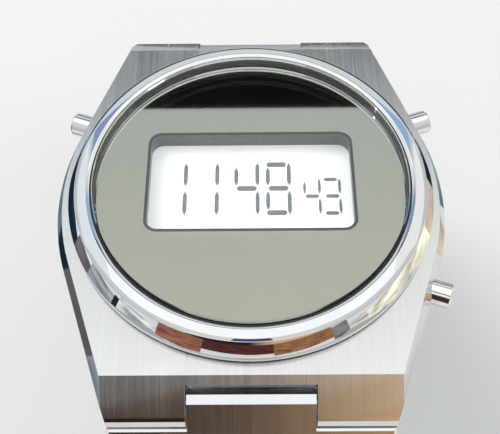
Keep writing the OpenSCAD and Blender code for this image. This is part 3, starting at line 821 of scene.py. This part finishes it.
def face_out(node):
    """Which way a link's outer face looks: the normal of its largest flat area, away from the wrist."""
    areas = {}
    for face in frame["nodes"][node].data.polygons:
        if abs(face.normal.x) < 0.05:
            key = tuple(round(c, 2) for c in face.normal)
            areas[key] = areas.get(key, 0) + face.area
    wrist = Vector((0, 0, WRIST_Z * MM))
    low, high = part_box(node)
    out = (low + high) / 2 - wrist
    best = max((k for k in areas if Vector(k).dot(out) > 0.4 * out.length), key=areas.get)
    return Vector(best).normalized()


for side in ("upper", "lower"):
    for number in range(1, LINKS + 1):
        name = f"{side}_link_{number}"
        machined(
            name,
            [BRUSHED_LINK, POLISHED_LINK],
            LINK_EDGE * MM,
            link_finish(face_out(name)),
        )
        if number % 2:
            recoloured(f"{side}_pins_{number}", [POLISHED_LINK])

# --- Clasp --------------------------------------------------------------------------------------
# A butterfly clasp of polished steel: two arms hinged on a centre plate, which fold flat inside the
# last links, and a release button at each end of its latch block.

CLASP_STEEL = polished("clasp_polished", colour=(0.7, 0.705, 0.71), rough=0.06)
CLASP_PLATE = brushed(
    "clasp_plate_brushed", (ACROSS, LINK_ALONG, LINK_ALONG), colour=(0.6, 0.6, 0.59), rough=0.24
)
ARM_EDGE = 0.05
PLATE_EDGE = 0.06
CLASP_BUTTON_EDGE = 0.03
machined("upper_arm", [CLASP_STEEL], ARM_EDGE * MM)
machined("lower_arm", [CLASP_STEEL], ARM_EDGE * MM)
machined(
    "clasp_plate",
    [CLASP_STEEL, CLASP_PLATE],
    PLATE_EDGE * MM,
    lambda normal, middle: 1 if abs(normal.z) > 0.9 else 0,
)
recoloured("plate_pins", [POLISHED_LINK])
for hand in ("left", "right"):
    machined(
        f"clasp_button_{hand}",
        [BUTTON_STEEL],
        CLASP_BUTTON_EDGE * MM,
        sharp=32,
    )

# --- Studio -------------------------------------------------------------------------------------
# A pale floor under a soft, even sky. Cards that only reflections see hang round the watch: softboxes
# over it, dark and coloured panels lower down, and coloured sectors just over the floor.

FLOOR_HALF = 3.0
CARD_FAR = 1.0
CARD_STEP = 5
PANEL_BACK = 0.65
SECTOR_LIFT = 1.0 * MM
MOTTLE = 22
FADE_FROM, FADE_TO = -0.02, 0.17
LAMP_SIZE = 0.5
SKY_STRENGTH = 0.85
lowest = cad_box[0].z


def stage_sheet(name, corners, faces, finish):
    mesh = bpy.data.meshes.new(name)
    mesh.from_pydata([Vector(c) for c in corners], [], faces)
    mesh.materials.append(finish)
    sheet = bpy.data.objects.new(name, mesh)
    bpy.context.scene.collection.objects.link(sheet)
    return sheet


def floor_finish():
    """Dead matt, pale and even."""
    finish = Finish("floor_pale")
    cloud = finish.noise((6, 6, 6), 2.0)
    finish.set(
        Base_Color=finish.tint(cloud, (0.76, 0.76, 0.755), (0.8, 0.8, 0.795)),
        Roughness=0.6 + (cloud - 0.5) * 0.05,
        Specular_IOR_Level=0.0,
    )
    return finish.material


def card_finish(name, colour, right_colour=None, mottled=False):
    """Gives off a set light, as a lit surface far away would.

    It can fade across to a second colour, or be mottled.
    """
    finish = Finish(name)
    start = finish.start
    shade = (*colour, 1)
    if right_colour:
        across = start.node("ShaderNodeSeparateXYZ", {"Vector": finish.place()}, out="X")
        fade = start.node(
            "ShaderNodeMapRange", {"Value": across, "From Min": FADE_FROM, "From Max": FADE_TO}
        )
        shade = finish.tint(fade, colour, right_colour)
    if mottled:
        mottling = (finish.noise((MOTTLE, MOTTLE, MOTTLE), 3.0) - 0.35) * 3.3
        shade = finish.tint(mottling, [c * 0.5 for c in colour], [c * 1.4 for c in colour])
    glow = start.node("ShaderNodeEmission", {"Color": shade, "Strength": 1.0})
    start.tree.links.new(glow.socket, finish.output.inputs["Surface"])
    return finish.material


floor_corners = [(x * FLOOR_HALF, y * FLOOR_HALF, 0) for x, y in ((-1, -1), (1, -1), (1, 1), (-1, 1))]
floor = stage_sheet("floor", floor_corners, [(0, 1, 2, 3)], floor_finish())

# The floor stays under the bracelet's lowest corner, at the tip of a last link, in every pose
TIP_Y = 0.15
FLOOR_GAP = 0.02
tip = bpy.data.objects.new("lowest_corner", None)
bpy.context.scene.collection.objects.link(tip)
tip.location = (0, TIP_Y * MM, lowest - FLOOR_GAP * MM)
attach(tip, "upper_link_7")
stay_under = floor.constraints.new("COPY_LOCATION")
stay_under.target = tip
stay_under.use_x = stay_under.use_y = False


def card(name, corners, faces, finish):
    """A sheet that shows only in reflections and through the crystal."""
    sheet = stage_sheet(name, corners, faces, finish)
    sheet.visible_camera = sheet.visible_diffuse = sheet.visible_shadow = False


def strip(name, lower, upper, finish):
    """A card between two rows of corners."""
    row = len(lower)
    faces = [(i, i + 1, row + i + 1, row + i) for i in range(row - 1)]
    card(name, lower + upper, faces, finish)


def turns_between(start, end):
    """Compass angles in even steps, both ends included."""
    steps = math.ceil(abs(end - start) / CARD_STEP)
    return [start + (end - start) * i / steps for i in range(steps + 1)]


def on_sphere(compass, height):
    """A place at a compass angle and a height above the horizon, both in degrees."""
    a, up = math.radians(compass), math.radians(height)
    return Vector((math.sin(a) * math.cos(up), math.cos(a) * math.cos(up), math.sin(up))) * CARD_FAR


def sky_card(name, start, end, low_angle, high_angle, colour, right_colour=None):
    """A curved card between two compass angles and two heights, in degrees."""
    turns = turns_between(start, end)
    rows = [[on_sphere(turn, height) for turn in turns] for height in (low_angle, high_angle)]
    strip(name, *rows, card_finish(name + "_finish", colour, right_colour))


def panel_behind(name, left, right, low_angle, high_angle, colour):
    """An upright flat panel behind the watch, with the heights of its two level edges in degrees."""
    heights = [PANEL_BACK * math.tan(math.radians(angle)) for angle in (low_angle, high_angle)]
    rows = [[(x, PANEL_BACK, z) for x in (left, right)] for z in heights]
    strip(name, *rows, card_finish(name + "_finish", colour))


def overhead_card(name, low_angle, colour):
    """A level disc over the watch, down to a height in degrees on every side."""
    corners = [on_sphere(turn, low_angle) for turn in range(0, 360, CARD_STEP)]
    card(name, corners, [tuple(range(len(corners)))], card_finish(name + "_finish", colour))


def on_floor(compass, away):
    """A place just over the floor, at a compass angle in degrees and a distance."""
    a = math.radians(compass)
    return Vector((math.sin(a) * away, math.cos(a) * away, lowest + SECTOR_LIFT))


def ground_sector(name, start, end, near, far, colour):
    """A coloured sheet just over the floor, between two compass angles and two distances."""
    rows = [[on_floor(turn, away) for turn in turns_between(start, end)] for away in (near, far)]
    strip(name, *rows, card_finish(name + "_finish", colour, mottled=True))


panel_behind("dark_panel_behind", -0.24, 0.24, 40.5, 51.0, (0.006, 0.006, 0.008))
panel_behind("blue_panel_behind_left", -0.44, -0.24, 38, 51.0, (0.26, 0.38, 0.62))
panel_behind("blue_panel_behind_right", 0.24, 0.44, 38, 51.0, (0.36, 0.54, 0.8))
panel_behind("pale_panel_behind", -0.7, 0.7, 21, 38, (0.78, 0.85, 0.9))
sky_card("dark_rail_behind", -50, 50, -6, 14, (0.04, 0.05, 0.065))
sky_card("pale_panel_left", -78, -36, 34, 60, (0.94, 1.0, 1.04))
sky_card("pale_panel_right", 36, 78, 34, 60, (1.02, 1.04, 1.0))
sky_card("low_softbox_left", -36, -24, 51.2, 60, (1.26, 1.3, 1.32))
sky_card("low_softbox_right", 24, 36, 51.2, 60, (1.26, 1.3, 1.32))
sky_card("softbox_left", -104, -23.5, 60, 67, (1.2, 1.25, 1.27))
sky_card("softbox_right", 23.5, 104, 60, 67, (1.25, 1.26, 1.24))
sky_card("softbox_behind", -104, 104, 67, 73, (1.3, 1.33, 1.34))
overhead_card("softbox_over", 73, (1.22, 1.25, 1.27))
sky_card("warm_panel_front", 212, 148, -8, 43, (0.035, 0.018, 0.016), (0.76, 0.5, 0.28))
sky_card("pale_panel_front", 220, 140, 45, 58, (1.1, 1.14, 1.16))
sky_card("blue_panel_front", 194, 166, 60, 69, (0.07, 0.085, 0.17))
ground_sector("near_sector", 60, -110, 0.045, 0.07, (0.22, 0.29, 0.35))
ground_sector("navy_sector", 57, -80, 0.07, 0.125, (0.014, 0.026, 0.045))
ground_sector("dusky_sector", -80, -94, 0.07, 0.16, (0.16, 0.14, 0.16))
ground_sector("grey_sector", -94, -111, 0.07, 0.22, (0.42, 0.43, 0.47))
ground_sector("dark_stripe", -111, -114, 0.14, 0.24, (0.02, 0.02, 0.022))
ground_sector("pale_sector", -114, -135, 0.16, 0.31, (0.75, 0.82, 0.84))
ground_sector("russet_sector", -135, -157, 0.2, 0.95, (0.34, 0.14, 0.09))
ground_sector("dark_red_sector", -157, -190, 0.28, 0.95, (0.11, 0.034, 0.034))
ground_sector("orange_sector", -190, -218, 0.24, 0.95, (0.36, 0.17, 0.09))
ground_sector("slate_sector", -218, -226, 0.2, 0.6, (0.24, 0.26, 0.25))
ground_sector("stone_sector", -226, -236, 0.17, 0.32, (0.7, 0.68, 0.58))
ground_sector("cream_sector", -236, -283, 0.09, 0.28, (1.1, 1.06, 0.84))
ground_sector("tan_sector", -283, -303, 0.07, 0.13, (0.66, 0.54, 0.42))


def lamp(name, place, power, colour):
    """A square lamp that faces the watch and doesn't show in the steel."""
    data = bpy.data.lights.new(name, "AREA")
    data.shape, data.size, data.energy, data.color = "SQUARE", LAMP_SIZE, power, colour
    source = bpy.data.objects.new(name, data)
    bpy.context.scene.collection.objects.link(source)
    source.location = place
    source.rotation_euler = (-Vector(place)).to_track_quat("-Z", "Y").to_euler()
    source.visible_glossy = False


lamp("key", (-0.55, 0.35, 0.8), 5.0, (1.0, 0.99, 0.97))
lamp("fill", (0.7, -0.2, 0.5), 1.6, (0.96, 0.98, 1.0))

world = bpy.data.worlds.new("studio_sky")
bpy.context.scene.world = world
world.use_nodes = True
sky = Shade(world.node_tree)
background = next(n for n in world.node_tree.nodes if n.type == "BACKGROUND")
direction = sky.node("ShaderNodeTexCoord", out="Generated")
height = sky.node("ShaderNodeSeparateXYZ", {"Vector": direction}, out="Z")
level = sky.node(
    "ShaderNodeValToRGB",
    {"Fac": height * 0.5 + 0.5},
    stops=[
        (0.0, (0.5, 0.5, 0.5)),
        (0.5, (0.56, 0.58, 0.6)),
        (0.7, (0.74, 0.79, 0.84)),
        (0.89, (0.86, 0.89, 0.9)),
        (0.955, (1.0, 0.98, 0.93)),
    ],
)
world.node_tree.links.new(level.socket, background.inputs["Color"])
background.inputs["Strength"].default_value = SKY_STRENGTH

# The camera stands above 6 o'clock and looks down at the dial
CAMERA_PLACE = Vector((0.537, -46.183, 78.475)) * MM
CAMERA_AIM = Vector((-0.00731, 0.52069, -0.85371)).normalized()
CAMERA_ROLL = math.radians(-1.071)
camera_data = bpy.data.cameras.new("camera")
camera_data.lens = 59.03
camera_data.sensor_width = 36.0
camera_data.clip_start = 0.005
camera = bpy.data.objects.new("camera", camera_data)
bpy.context.scene.collection.objects.link(camera)
level_right = CAMERA_AIM.cross(Vector((0, 0, 1))).normalized()
level_up = level_right.cross(CAMERA_AIM)
right = level_right * math.cos(CAMERA_ROLL) + level_up * math.sin(CAMERA_ROLL)
up = level_up * math.cos(CAMERA_ROLL) - level_right * math.sin(CAMERA_ROLL)
camera.matrix_world = Matrix(
    (
        (right.x, up.x, -CAMERA_AIM.x, CAMERA_PLACE.x),
        (right.y, up.y, -CAMERA_AIM.y, CAMERA_PLACE.y),
        (right.z, up.z, -CAMERA_AIM.z, CAMERA_PLACE.z),
        (0, 0, 0, 1),
    )
)
bpy.context.scene.camera = camera
bpy.context.scene.view_settings.view_transform = "Standard"
